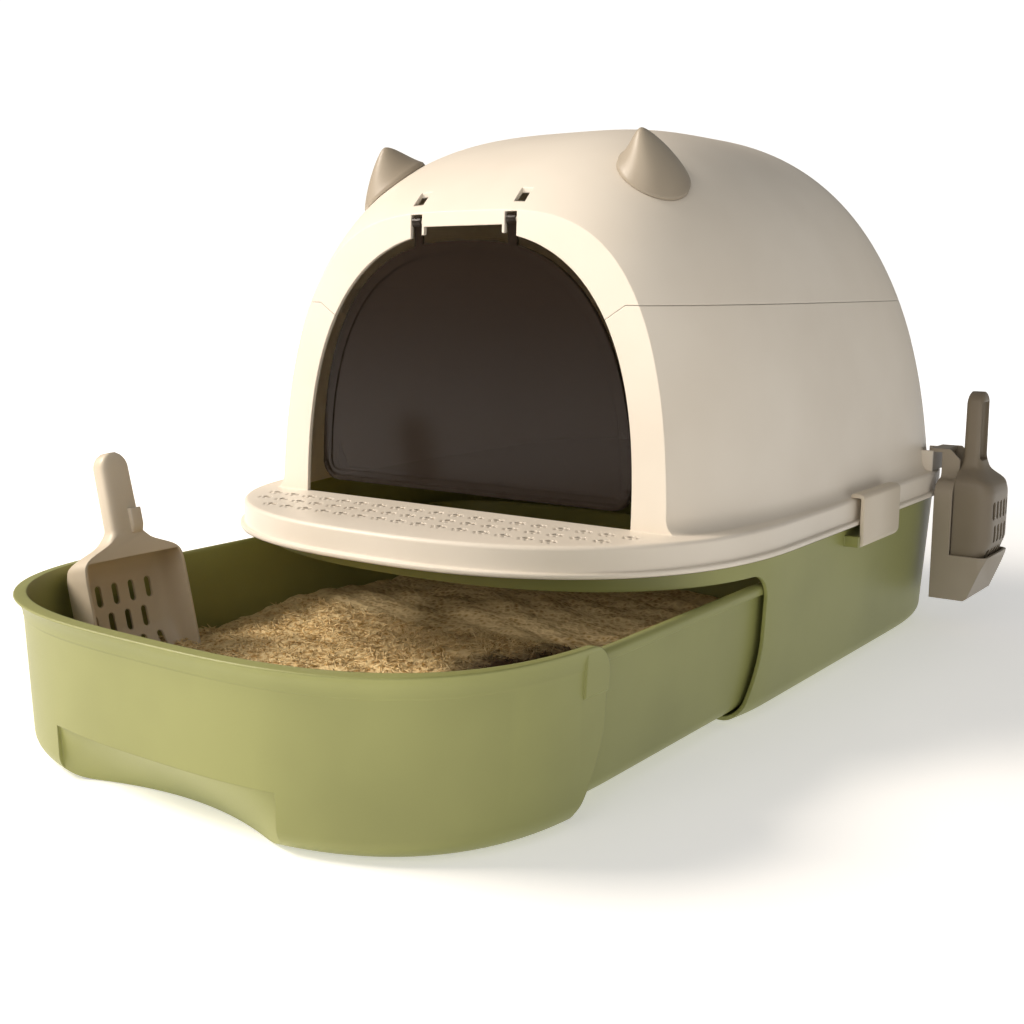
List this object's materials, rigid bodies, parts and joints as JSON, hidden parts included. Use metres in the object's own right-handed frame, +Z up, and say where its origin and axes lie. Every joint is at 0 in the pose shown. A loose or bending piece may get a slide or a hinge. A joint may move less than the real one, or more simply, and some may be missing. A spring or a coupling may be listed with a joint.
{
  "type": "hooded drawer litter box",
  "caption": "Hooded cat litter box with a swinging smoke door, a perforated step, side clips, ear-shaped horns and a pull-out litter drawer with scoops.",
  "frame": {"origin": "on the floor under the middle of the closed box, in the plane of the foot pads", "axes": "+X to the right of the box seen from its door, -Y out of the door and the way the drawer pulls, +Z up"},
  "size_m": [0.4823, 0.7597, 0.4112],
  "materials": {
    "green_shell": "satin moulded olive green polypropylene",
    "cream_shell": "satin moulded cream polypropylene",
    "taupe_trim": "satin moulded taupe polypropylene",
    "smoke_door": "clear moulded sheet, smoke brown tint",
    "pale_trim": "satin moulded beige polypropylene",
    "foot_rubber": "soft black elastomer",
    "litter": "loose wood and tofu granules"
  },
  "bodies": {
    "box": {"housing": "green_shell", "foot_pad_front_left": "foot_rubber", "foot_pad_front_right": "foot_rubber", "foot_pad_rear_left": "foot_rubber", "foot_pad_rear_right": "foot_rubber", "lid_base": "cream_shell"},
    "drawer": {"drawer": "green_shell", "litter_bed": "litter"},
    "hood": {"upper_hood": "cream_shell"},
    "door": {"door_flap": "smoke_door"},
    "horn_left": {"horn_left": "taupe_trim"},
    "horn_right": {"horn_right": "taupe_trim"},
    "latch_left": {"latch_left": "pale_trim"},
    "latch_right": {"latch_right": "pale_trim"},
    "caddy": {"scoop_caddy": "taupe_trim"},
    "hanging_scoop": {"hanging_scoop": "taupe_trim"},
    "drawer_scoop": {"drawer_scoop": "pale_trim"}
  },
  "joints": [
    {"name": "drawer_slide", "type": "slide", "parent": "box", "child": "drawer", "axis": [0, -1, 0], "range_m": [-0.07, 0.15]},
    {"name": "hood_lift", "type": "slide", "parent": "box", "child": "hood", "axis": [0, 0, 1], "range_m": [0, 0.06]},
    {"name": "door_swing", "type": "hinge", "parent": "hood", "child": "door", "pos_m": [0, -0.17375, 0.337], "axis": [1, 0, 0], "range_deg": [-70, 70]},
    {"name": "horn_left_pull", "type": "slide", "parent": "hood", "child": "horn_left", "axis": [-0.5184, -0.3496, 0.7804], "range_m": [0, 0.02]},
    {"name": "horn_right_pull", "type": "slide", "parent": "hood", "child": "horn_right", "axis": [0.5184, -0.3496, 0.7804], "range_m": [0, 0.02]},
    {"name": "latch_left_turn", "type": "hinge", "parent": "box", "child": "latch_left", "pos_m": [-0.214, 0.058, 0.106], "axis": [0, -1, 0], "range_deg": [0, 100]},
    {"name": "latch_right_turn", "type": "hinge", "parent": "box", "child": "latch_right", "pos_m": [0.214, 0.058, 0.106], "axis": [0, 1, 0], "range_deg": [0, 100]},
    {"name": "caddy_lift", "type": "slide", "parent": "box", "child": "caddy", "axis": [0, 0, 1], "range_m": [0, 0.05]},
    {"name": "hanging_scoop_lift", "type": "slide", "parent": "caddy", "child": "hanging_scoop", "axis": [0, 0, 1], "range_m": [0, 0.09]},
    {"name": "drawer_scoop_lift", "type": "slide", "parent": "drawer", "child": "drawer_scoop", "axis": [-0.225, 0, 0.9744], "range_m": [0, 0.09]}
  ]
}
